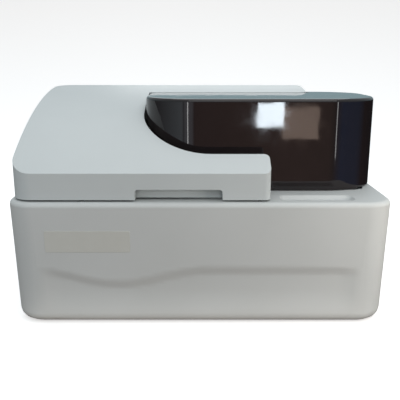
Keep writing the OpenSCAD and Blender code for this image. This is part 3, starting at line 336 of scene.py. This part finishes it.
def moulding(node, *roundings):
    """A copy of a CAD node with hard edges rounded. Each rounding is a radius in mm and a test of edges."""
    form = bmesh.new()
    form.from_mesh(nodes[node].data)
    bmesh.ops.remove_doubles(form, verts=form.verts, dist=same_point)
    bmesh.ops.dissolve_limit(form, angle_limit=flat_angle, verts=form.verts, edges=form.edges)
    for radius_mm, picked in roundings:
        hard = [e for e in form.edges
                if len(e.link_faces) == 2 and e.calc_face_angle(0) > moulded_edge_angle and picked(e)]
        bmesh.ops.bevel(form, geom=hard, offset=radius_mm / 1000, segments=4, profile=0.5,
                        affect="EDGES", clamp_overlap=True)
    bmesh.ops.dissolve_degenerate(form, dist=shortest_edge, edges=form.edges)
    for face in form.faces:
        face.smooth = True
    mesh = bpy.data.meshes.new(node + "_moulding")
    form.to_mesh(mesh)
    form.free()
    mesh.materials.clear()
    piece = bpy.data.objects.new(node + "_moulding", mesh)
    bpy.context.scene.collection.objects.link(piece)
    even = piece.modifiers.new("even_faces", "WEIGHTED_NORMAL")
    even.keep_sharp = True
    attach(piece, nodes[node]["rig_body"])
    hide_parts(node)
    return piece


def every_edge(edge):
    """Picks all hard edges."""
    return True


# ABS in a light grey: soft broad highlights and no clear reflections.
# Its third colour is the painted shade in its creases.
casing_abs = formed_abs("formed_abs_light_grey", "#d0d3d2", "#c7cac8", "#969896", 0.5)
casing = moulding("base_shell", (1.2, every_edge))
casing.data.materials.append(casing_abs)

# Blank plate. A bare satin polyester plate with rounded corners, stuck flat on the left of the front.
# It follows the front's lean and is only a shade yellower than the casing.
plate_x0, plate_x1 = -0.327, -0.147
plate_z0, plate_z1 = 0.168, 0.215
plate_proud = 0.0006
plate_edge = 0.0002
plate_border = 0.006
plate_corner, least_corner = 0.004, 0.001
deck_height = 0.275
front_y = -0.266  # at the deck, from where the front leans in towards its foot
front_draft, front_height = 0.006, 0.272
front_lean = front_draft / front_height


def rounded_outline(x0, x1, z0, z1, radius, steps=6):
    """Corner points of a rounded rectangle, anticlockwise from its lower left."""
    line = []
    for cx, cz, start in ((x0 + radius, z0 + radius, 180), (x1 - radius, z0 + radius, 270),
                          (x1 - radius, z1 - radius, 0), (x0 + radius, z1 - radius, 90)):
        for i in range(steps + 1):
            a = math.radians(start + 90 * i / steps)
            line.append((cx + radius * math.cos(a), cz + radius * math.sin(a)))
    return line


def stacked(rings):
    """Vertices and faces that skin a stack of rings with the same number of points, closed at both ends."""
    n = len(rings[0])
    points = [p for ring in rings for p in ring]
    faces = [(k * n + i, k * n + (i + 1) % n, (k + 1) * n + (i + 1) % n, (k + 1) * n + i)
             for k in range(len(rings) - 1) for i in range(n)]
    faces += [tuple(reversed(range(n))), tuple((len(rings) - 1) * n + i for i in range(n))]
    return points, faces


def new_piece(name, points, faces, material, body, slot, smooth_deg=35):
    """An object from points and faces, riding on a body, with flat faces kept flat."""
    mesh = bpy.data.meshes.new(name)
    mesh.from_pydata(points, [], faces)
    form = bmesh.new()
    form.from_mesh(mesh)
    bmesh.ops.recalc_face_normals(form, faces=form.faces)
    for edge in form.edges:
        edge.smooth = len(edge.link_faces) == 2 and edge.calc_face_angle(0) < math.radians(smooth_deg)
    for face in form.faces:
        face.smooth = True
    form.to_mesh(mesh)
    form.free()
    mesh.materials.append(material)
    piece = bpy.data.objects.new(name, mesh)
    bpy.context.scene.collection.objects.link(piece)
    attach(piece, body)
    return piece


plate_rings = []
for inset, out in ((0.0, -plate_edge), (0.0, plate_proud - plate_edge), (plate_edge, plate_proud),
                   (plate_border, plate_proud)):
    plate_line = rounded_outline(plate_x0 + inset, plate_x1 - inset, plate_z0 + inset, plate_z1 - inset,
                                 max(plate_corner - inset, least_corner))
    plate_rings.append([(x, front_y + front_lean * (deck_height - z) - out, z) for x, z in plate_line])
# Satin polyester film: smoother than the casing, so it shows as a faint sheen.
film = speckled("satin_polyester_film", "#cfd0ca", "#c9cac3", 0.34, 30, 0.01)
new_piece("blank_plate", *stacked(plate_rings), film, "base", "casing")

# Main board. Green glass-fibre laminate with copper tracks under the solder resist, black packages and
# white connectors soldered on, standing on six steel posts over the bottom plate.
board_low, board_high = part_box("main_board")
track_mm = 2.6  # real tracks are about 0.3 mm wide, too fine to show
track_gap_mm = 0.9
track_depth_mm = 0.1
package_foot, connector_foot = 0.16, 0.4  # shares of the board's height with everything on it
# Solder resist: a green skin with a dull gloss, which shows the tracks under it as lighter lines.
board, board_tree, board_shader, board_place = start_material("solder_resist_on_glass_fibre", "#1f5a37", 0.4)
tracks = add_node(board_tree, "ShaderNodeTexBrick", {"offset": 0.37, "squash": 1.0}, {
    "Vector": board_place, "Color1": linear("#1d5434"), "Color2": linear("#246440"),
    "Mortar": linear("#3f8a55"), "Scale": 1.0, "Mortar Size": track_gap_mm / 1000,
    "Brick Width": 7 * track_mm / 1000, "Row Height": track_mm / 1000})
board_parts = add_node(board_tree, "ShaderNodeSeparateXYZ", {}, {"Vector": board_place})
board_level = add_node(board_tree, "ShaderNodeMapRange", {}, {
    "Value": board_parts.outputs["Z"], "From Min": board_low.z, "From Max": board_high.z})
on_board = add_node(board_tree, "ShaderNodeValToRGB", {
    "steps": ((0.0, "#000000"), (package_foot, "#ffffff"))}, {"Fac": board_level.outputs["Result"]})
package = add_node(board_tree, "ShaderNodeValToRGB", {
    "steps": ((0.0, "#17181a"), (connector_foot, "#d8d5c8"))}, {"Fac": board_level.outputs["Result"]})
board_mix = add_node(board_tree, "ShaderNodeMix", {"data_type": "RGBA"}, {
    "Factor": on_board.outputs["Color"], 6: tracks.outputs["Color"], 7: package.outputs["Color"]})
board_tree.links.new(board_mix.outputs[2], board_shader.inputs["Base Color"])
board_bump = add_node(board_tree, "ShaderNodeBump", {}, {
    "Height": tracks.outputs["Fac"], "Strength": 0.3, "Distance": track_depth_mm / 1000})
board_tree.links.new(board_bump.outputs["Normal"], board_shader.inputs["Normal"])
dress(board, "main_board")

# Ground steel: bright, with an even grain that widens its highlight.
# The real grain is 0.05 mm, too fine to show.
ground_steel = brushed("ground_shaft_steel", "#c9cccf", 0.22, 0.9, 0.9, 2)
dress(ground_steel, "board_posts")

# Pump and motors. Black-enamelled cases, screwed under the deck or on the plate.
# The stepper motors are stacks of dark laminations between cast end caps.
# Enamel: black with a soft sheen that a slight orange peel breaks up.
enamel = speckled("black_enamelled_metal", "#2b2d31", "#222428", 0.42, 3.0, 0.03)
dress(enamel, "fluid_pump", "arm_drive", edge_mm=0.8)


def stepper(name, node):
    """A stepper's case: dull silvery cast caps at both ends, and dark ribbed laminations between them."""
    low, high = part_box(node)
    cap, laminations = "#9da1a5", "#2a2b2e"
    wave_mm = 12.566  # real laminations are 0.5 mm, too fine to show
    wave_turns = 20 / (2 * math.pi)  # waves in each unit of the wave texture
    wave_depth_mm = 0.2
    material, tree, shader, place = start_material(name, laminations, 0.45)
    parts = add_node(tree, "ShaderNodeSeparateXYZ", {}, {"Vector": place})
    level = add_node(tree, "ShaderNodeMapRange", {}, {
        "Value": parts.outputs["Z"], "From Min": low.z, "From Max": high.z})
    bands = add_node(tree, "ShaderNodeValToRGB", {
        "steps": ((0.0, cap), (0.2, laminations), (0.8, cap))}, {"Fac": level.outputs["Result"]})
    tree.links.new(bands.outputs["Color"], shader.inputs["Base Color"])
    stack = add_node(tree, "ShaderNodeTexWave", {"bands_direction": "Z"}, {
        "Vector": place, "Scale": 1000 / wave_mm / wave_turns, "Distortion": 0.2})
    bump = add_node(tree, "ShaderNodeBump", {}, {
        "Height": stack.outputs["Fac"], "Strength": 0.25, "Distance": wave_depth_mm / 1000})
    tree.links.new(bump.outputs["Normal"], shader.inputs["Normal"])
    return material


dress(stepper("carousel_stepper_stack", "carousel_motor"), "carousel_motor", edge_mm=0.8)
dress(stepper("rotor_stepper_stack", "rotor_motor"), "rotor_motor", edge_mm=0.8)

# Rear panel. A zinc-plated sheet screwed over the casing's rear window, punched for the fan, the ports and
# air. Its fittings are black nylon mouldings, plated port shells with brass pins, and pale hose barbs.
dress(steel_sheet, "rear_panel", "data_port", edge_mm=0.3)
dress(ground_steel, "panel_screws", "fan_guard")
# Black nylon: matt, slightly uneven, without a clear highlight.
nylon = speckled("black_glass_filled_nylon", "#232426", "#1a1b1d", 0.5, 2.2, 0.03)
dress(nylon, "fan_frame")
dress(nylon, "fan_impeller", "power_inlet", "switch_bezel", "power_switch", edge_mm=0.4)
# Polypropylene: milky white with a waxy sheen.
polypropylene = speckled("white_polypropylene", "#e9e8e2", "#e0dfd8", 0.36, 14, 0.03)
milky = polypropylene.node_tree.nodes["Principled BSDF"]
milky.inputs["Subsurface Weight"].default_value = 0.08
milky.inputs["Subsurface Scale"].default_value = 0.002
dress(polypropylene, "hose_barbs")


def gathered(parts):
    """Joins several lots of points and faces into one."""
    points, faces = [], []
    for more_points, more_faces in parts:
        start = len(points)
        points += more_points
        faces += [tuple(i + start for i in face) for face in more_faces]
    return points, faces


# Brass: a warm yellow metal with faint lines from drawing, coarser here than the real ones so that they show.
brass = brushed("drawn_brass", "#c8a865", 0.25, 1.2, 30, 1)
inlet_low, inlet_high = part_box("power_inlet")
inlet_x, inlet_z = (inlet_low.x + inlet_high.x) / 2, (inlet_low.z + inlet_high.z) / 2
blade_half_w, blade_half_h, blade_corner = 0.002, 0.003, 0.0005
blade_spots = ((-0.007, -0.002), (0.0, 0.002), (0.007, -0.002))
blade_root, blade_tip = inlet_low.y + 0.004, inlet_high.y - 0.007
blade_narrowing = 0.6  # how much of the height's taper the width takes
blade_taper = ((0.0, blade_root), (0.0, blade_tip - 0.002), (0.0006, blade_tip - 0.0005), (0.0011, blade_tip))
blades = []
for blade_x, blade_z in blade_spots:
    mid_x, mid_z = inlet_x + blade_x, inlet_z + blade_z
    blade_rings = []
    for inset, y in blade_taper:
        half_w, half_h = blade_half_w - inset * blade_narrowing, blade_half_h - inset
        blade_line = rounded_outline(mid_x - half_w, mid_x + half_w, mid_z - half_h, mid_z + half_h,
                                     blade_corner, 3)
        blade_rings.append([(x, y, z) for x, z in blade_line])
    blades.append(stacked(blade_rings))
new_piece("inlet_blades", *gathered(blades), brass, "base", "ground_steel")

port_low, port_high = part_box("data_port")
port_x, port_z = (port_low.x + port_high.x) / 2, (port_low.z + port_high.z) / 2
pin_r, pin_tip_r = 0.0005, 0.0003
pin_pitch, pin_row = 0.0028, 0.0014
pin_taper = ((pin_r, port_low.y + 0.003), (pin_r, port_high.y - 0.0034), (pin_tip_r, port_high.y - 0.003))
pin_turns = [math.pi * k / 5 for k in range(10)]
pins = []
for pin_z, count in ((port_z + pin_row, 5), (port_z - pin_row, 4)):
    for i in range(count):
        pin_x = port_x + (i - (count - 1) / 2) * pin_pitch
        pins.append(stacked([[(pin_x + r * math.cos(a), y, pin_z + r * math.sin(a)) for a in pin_turns]
                             for r, y in pin_taper]))
new_piece("port_pins", *gathered(pins), brass, "base", "ground_steel")

# Work deck. Laser-cut sheet with a light grey powder coat, hung under the casing's deck, with holes for the
# bowls, the probe's shaft and the wash well. Eight button-head screws hold it to the casing.
# Powder coat: an even, slightly pebbled grey with a soft gloss.
powder_coat = speckled("light_grey_powder_coat", "#c7cbcc", "#bfc3c5", 0.5, 3.2, 0.05)
dress(powder_coat, "work_deck", edge_mm=0.4)


def button_screw(place, head_mm, rearward=False):
    """A button-head screw with a hexagon socket, standing on a level face or on one that looks rearward."""
    radius = head_mm / 2000
    points = 24
    # Shares of the radius, outward and upward, and the ring's sides if it isn't round, from the rim inward.
    profile = ((1.0, -0.1, 0), (1.0, 0.25, 0), (0.9, 0.45, 0), (0.72, 0.56, 0), (0.55, 0.58, 6),
               (0.52, 0.25, 6), (0.1, 0.2, 6))
    rings = []
    for reach, rise, sides in profile:
        ring = []
        for i in range(points):
            a = 2 * math.pi * i / points
            out = radius * reach
            if sides:
                out *= math.cos(math.pi / sides) / math.cos(a % (2 * math.pi / sides) - math.pi / sides)
            across, along, up = out * math.cos(a), out * math.sin(a), radius * rise
            shift = (across, up, along) if rearward else (across, along, up)
            ring.append(tuple(p + q for p, q in zip(place, shift)))
        rings.append(ring)
    return stacked(rings)


deck_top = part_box("work_deck")[1].z
deck_head_mm = 7.2
deck_screw_spots = ((-0.358, -0.13), (-0.12, -0.13), (0.03, -0.13), (0.366, -0.13),
                    (0.366, 0.09), (0.045, 0.165), (-0.12, 0.165), (-0.358, 0.165))
deck_screws = [button_screw((x, y, deck_top), deck_head_mm) for x, y in deck_screw_spots]
new_piece("deck_screws", *gathered(deck_screws), ground_steel, "base", "ground_steel")

# Carousel. A spun aluminium bowl cooled from below, a white moulded tray on a steel spindle, clear sample
# tubes, white reagent bottles, and a fluted black knob that lifts the tray out.
# Bead-blasted aluminium: an even pale grey with a sparkle and no lines.
blasted = speckled("bead_blasted_aluminium", "#c3c6c8", "#b4b7ba", 0.42, 1.6, 0.04, 1.0)
dress(blasted, "carousel_bowl", "cooler_block", edge_mm=0.4)
dress(ground_steel, "carousel_bearing", "carousel_spindle")
dress(polypropylene, "carousel_tray", "reagent_bottles", edge_mm=0.5)
dress(nylon, "carousel_knob", edge_mm=0.8)
# Polystyrene: clear as glass, a little blue where it is thick, with faint cloudy patches.
haze_mm = 9
polystyrene, clear_tree, clear_shader, clear_place = start_material("clear_polystyrene", "#e8f0f2", 0.06)
clear_shader.inputs["IOR"].default_value = 1.59
clear_shader.inputs["Transmission Weight"].default_value = 0.92
clear_haze = add_node(clear_tree, "ShaderNodeTexNoise", {}, {
    "Vector": clear_place, "Scale": 1000 / haze_mm, "Detail": 2.0})
clear_dull = add_node(clear_tree, "ShaderNodeMapRange", {}, {
    "Value": clear_haze.outputs["Fac"], "To Min": 0.03, "To Max": 0.12})
clear_tree.links.new(clear_dull.outputs["Result"], clear_shader.inputs["Roughness"])
dress(polystyrene, "sample_tubes")

tray_low, tray_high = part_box("carousel_tray")
tray_centre = ((tray_low.x + tray_high.x) / 2, (tray_low.y + tray_high.y) / 2)


def turned(profile, centre, steps=24):
    """Points and faces of a shape turned about an upright line, from pairs of a radius and a height."""
    turns = [2 * math.pi * i / steps for i in range(steps)]
    return stacked([[(centre[0] + r * math.cos(a), centre[1] + r * math.sin(a), z) for a in turns]
                    for r, z in profile])


def first_angle(node, count, centre):
    """Angle of one of the equal places that a node's copies take round a centre."""
    turns = [count * math.atan2(v.co.y - centre[1], v.co.x - centre[0]) for v in nodes[node].data.vertices]
    return math.atan2(sum(map(math.sin, turns)), sum(map(math.cos, turns))) / count


def filled(node, count, ring_r, bore_r, floor, levels):
    """Columns of liquid, each with a low meniscus, a hair clear of the bores in a ring of vessels."""
    start = first_angle(node, count, tray_centre)
    columns = []
    for i in range(count):
        a = start + 2 * math.pi * i / count
        top = floor + levels[i % len(levels)]
        spot = (tray_centre[0] + ring_r * math.cos(a), tray_centre[1] + ring_r * math.sin(a))
        profile = ((bore_r * 0.3, floor), (bore_r * 0.9, floor), (bore_r, floor + 0.0006),
                   (bore_r, top + 0.0009), (bore_r * 0.86, top + 0.0002), (bore_r * 0.3, top))
        columns.append(turned(profile, spot))
    return gathered(columns)


# Serum: a thin amber liquid that clouds a little, seen through the tube.
serum = speckled("blood_serum", "#c9913a", "#b97f2c", 0.08, 7, 0.0, spread=0.03)
serum_shader = serum.node_tree.nodes["Principled BSDF"]
serum_shader.inputs["IOR"].default_value = 1.35
serum_shader.inputs["Transmission Weight"].default_value = 0.5
tube_count, tube_ring_r, tube_bore_r = 24, 0.126, 0.0052
tube_floor_t = 0.0061
tube_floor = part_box("sample_tubes")[0].z + tube_floor_t
serum_levels = (0.042, 0.036, 0.047, 0.031, 0.051, 0.039, 0.044)
serum_form = filled("sample_tubes", tube_count, tube_ring_r, tube_bore_r, tube_floor, serum_levels)
new_piece("serum_columns", *serum_form, serum, "carousel", "clear_plastic")
# Reagent: clear and faintly blue, seen only down the bottle's neck.
reagent = speckled("buffered_reagent", "#b9d3d6", "#aac8cc", 0.06, 6, 0.0, spread=0.02)
reagent.node_tree.nodes["Principled BSDF"].inputs["IOR"].default_value = 1.34
bottle_count, bottle_ring_r, bottle_bore_r = 12, 0.080, 0.0068
bottle_floor_t = 0.0101
bottle_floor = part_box("reagent_bottles")[0].z + bottle_floor_t
reagent_levels = (0.045, 0.038, 0.05, 0.033, 0.041)
reagent_form = filled("reagent_bottles", bottle_count, bottle_ring_r, bottle_bore_r, bottle_floor,
                      reagent_levels)
new_piece("reagent_columns", *reagent_form, reagent, "carousel", "clear_plastic")

# Reaction rotor. A black anodised disc on a steel spindle in a heated aluminium bowl, with a ring of clear
# moulded cuvettes clamped on it by a black cap.
dress(blasted, "incubator_bowl", edge_mm=0.4)
# Black anodising: dark with a metal's glint, and a touch of the machined grain under it.
anodised = speckled("black_anodised_aluminium", "#26272a", "#1e1f22", 0.36, 1.4, 0.02, 0.6)
dress(anodised, "reaction_rotor", edge_mm=0.4)
dress(polystyrene, "cuvette_ring")
dress(ground_steel, "rotor_bearing", "rotor_spindle")
dress(nylon, "rotor_cap", edge_mm=0.6)

# Probe arm. A white moulded arm clamped to a ground shaft that rises from a turned column, with a polished
# needle at its end. At rest the needle stands over the white wash well.
dress(blasted, "arm_column", edge_mm=0.6)
dress(ground_steel, "arm_shaft", "probe_needle")
dress(polypropylene, "probe_arm", edge_mm=1.5)
dress(polypropylene, "wash_well", edge_mm=0.6)

# Cuvette washer. A black nylon bar that slides up and down a ground post screwed to the deck.
# Four drawn steel nozzles, pressed into the bar, hang over the cuvettes.
dress(ground_steel, "wash_post", "wash_nozzles")
dress(nylon, "wash_head", edge_mm=0.8)

# Photometer, lamp and dosing syringe. Black-enamelled castings bolted to the deck, the lamp's with cooling
# fins, and a blasted block that holds a clear barrel and its black plunger.
dress(enamel, "photometer", "lamp_house", edge_mm=0.8)
dress(blasted, "syringe_block", edge_mm=0.6)
dress(polystyrene, "syringe_barrel")
dress(nylon, "syringe_plunger", edge_mm=0.3)

# Rear housing. A moulding of the casing's own ABS behind the lid, with air slots at its back, screwed to the
# casing along its foot. It carries the lid's three pressed steel hinges, each screwed to the lid by two
# small screws.
housing = moulding("rear_tower", (1.2, every_edge))
housing.data.materials.append(casing_abs)
dress(steel_sheet, "lid_hinge_brackets", "lid_knuckles", edge_mm=0.5)
dress(ground_steel, "lid_hinge_pins", "cover_hinge_pins")
housing_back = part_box("rear_tower")[1].y
housing_head_mm = 8.0
housing_screw_z = 0.292
housing_screw_xs = (-0.365, -0.12, 0.13, 0.38)
housing_screws = [button_screw((x, housing_back, housing_screw_z), housing_head_mm, rearward=True)
                  for x in housing_screw_xs]
new_piece("housing_screws", *gathered(housing_screws), ground_steel, "base", "ground_steel")
leaf_low, leaf_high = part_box("lid_knuckles")
leaf_t = 0.003
leaf_head_mm = 5.4
leaf_screw_xs = (-0.3, -0.06, 0.18)
leaf_screw_drops = (0.008, 0.021)
leaf_screws = [button_screw((x, leaf_low.y + leaf_t, leaf_high.z - drop), leaf_head_mm, rearward=True)
               for x in leaf_screw_xs for drop in leaf_screw_drops]
new_piece("leaf_screws", *gathered(leaf_screws), ground_steel, "lid", "ground_steel")

# Lid. Thermoformed ABS in a cooler grey, 4 mm thick, ribbed inside. Its arched top meets the front and the
# sides in a soft crease, and a finger recess is let into its front edge.
lid_crease_z = deck_height + 0.045


def arch_crease(edge):
    """Picks the edges where the lid's arched top meets its walls."""
    facing_up = [face.normal.z for face in edge.link_faces]
    return min(v.co.z for v in edge.verts) > lid_crease_z and max(facing_up) > 0.5 and min(facing_up) >= -0.3


# The casing's ABS in a cooler tone, from a smoother tool, so that its highlights are a little tighter.
# Its third colour is the painted shade in its creases.
lid_abs = formed_abs("formed_abs_cool_grey", "#ccd2d2", "#c4caca", "#8f9596", 0.44)
lid = moulding("lid_shell", (3.5, arch_crease), (0.7, every_edge))
lid.data.materials.append(lid_abs)
dress(lid_abs, "cover_ears", edge_mm=0.6)

# Smoked cover. Drape-formed cast acrylic, 4 mm thick, tinted almost black and polished, so that it shows the
# room more than what is under it. Black nylon lugs glued inside its top carry it on the lid's ears.
ripple_mm, ripple_depth_mm = 70, 2.0
smear_mm = 45
# Polished acrylic: clear, slightly wavy reflections with faint wiping smears.
smoke, smoke_tree, smoke_shader, smoke_place = start_material("smoked_cast_acrylic", "#1d1718", 0.04)
smoke_shader.inputs["IOR"].default_value = 1.49
smoke_ripple = add_node(smoke_tree, "ShaderNodeTexNoise", {}, {
    "Vector": smoke_place, "Scale": 1000 / ripple_mm, "Detail": 1.0})
smoke_bump = add_node(smoke_tree, "ShaderNodeBump", {}, {
    "Height": smoke_ripple.outputs["Fac"], "Strength": 0.12, "Distance": ripple_depth_mm / 1000})
smoke_tree.links.new(smoke_bump.outputs["Normal"], smoke_shader.inputs["Normal"])
smoke_smear = add_node(smoke_tree, "ShaderNodeTexNoise", {}, {
    "Vector": smoke_place, "Scale": 1000 / smear_mm, "Detail": 5.0, "Roughness": 0.7})
smoke_dull = add_node(smoke_tree, "ShaderNodeMapRange", {}, {
    "Value": smoke_smear.outputs["Fac"], "From Min": 0.35, "From Max": 0.75, "To Min": 0.02, "To Max": 0.09})
smoke_tree.links.new(smoke_dull.outputs["Result"], smoke_shader.inputs["Roughness"])
smoke_tint = add_node(smoke_tree, "ShaderNodeMix", {"data_type": "RGBA"}, {
    "Factor": smoke_smear.outputs["Fac"], 6: linear("#191415"), 7: linear("#211a1b")})
smoke_tree.links.new(smoke_tint.outputs[2], smoke_shader.inputs["Base Color"])
cover = moulding("smoked_cover", (0.8, every_edge))
cover.data.materials.append(smoke)
dress(nylon, "cover_lugs", edge_mm=0.5)
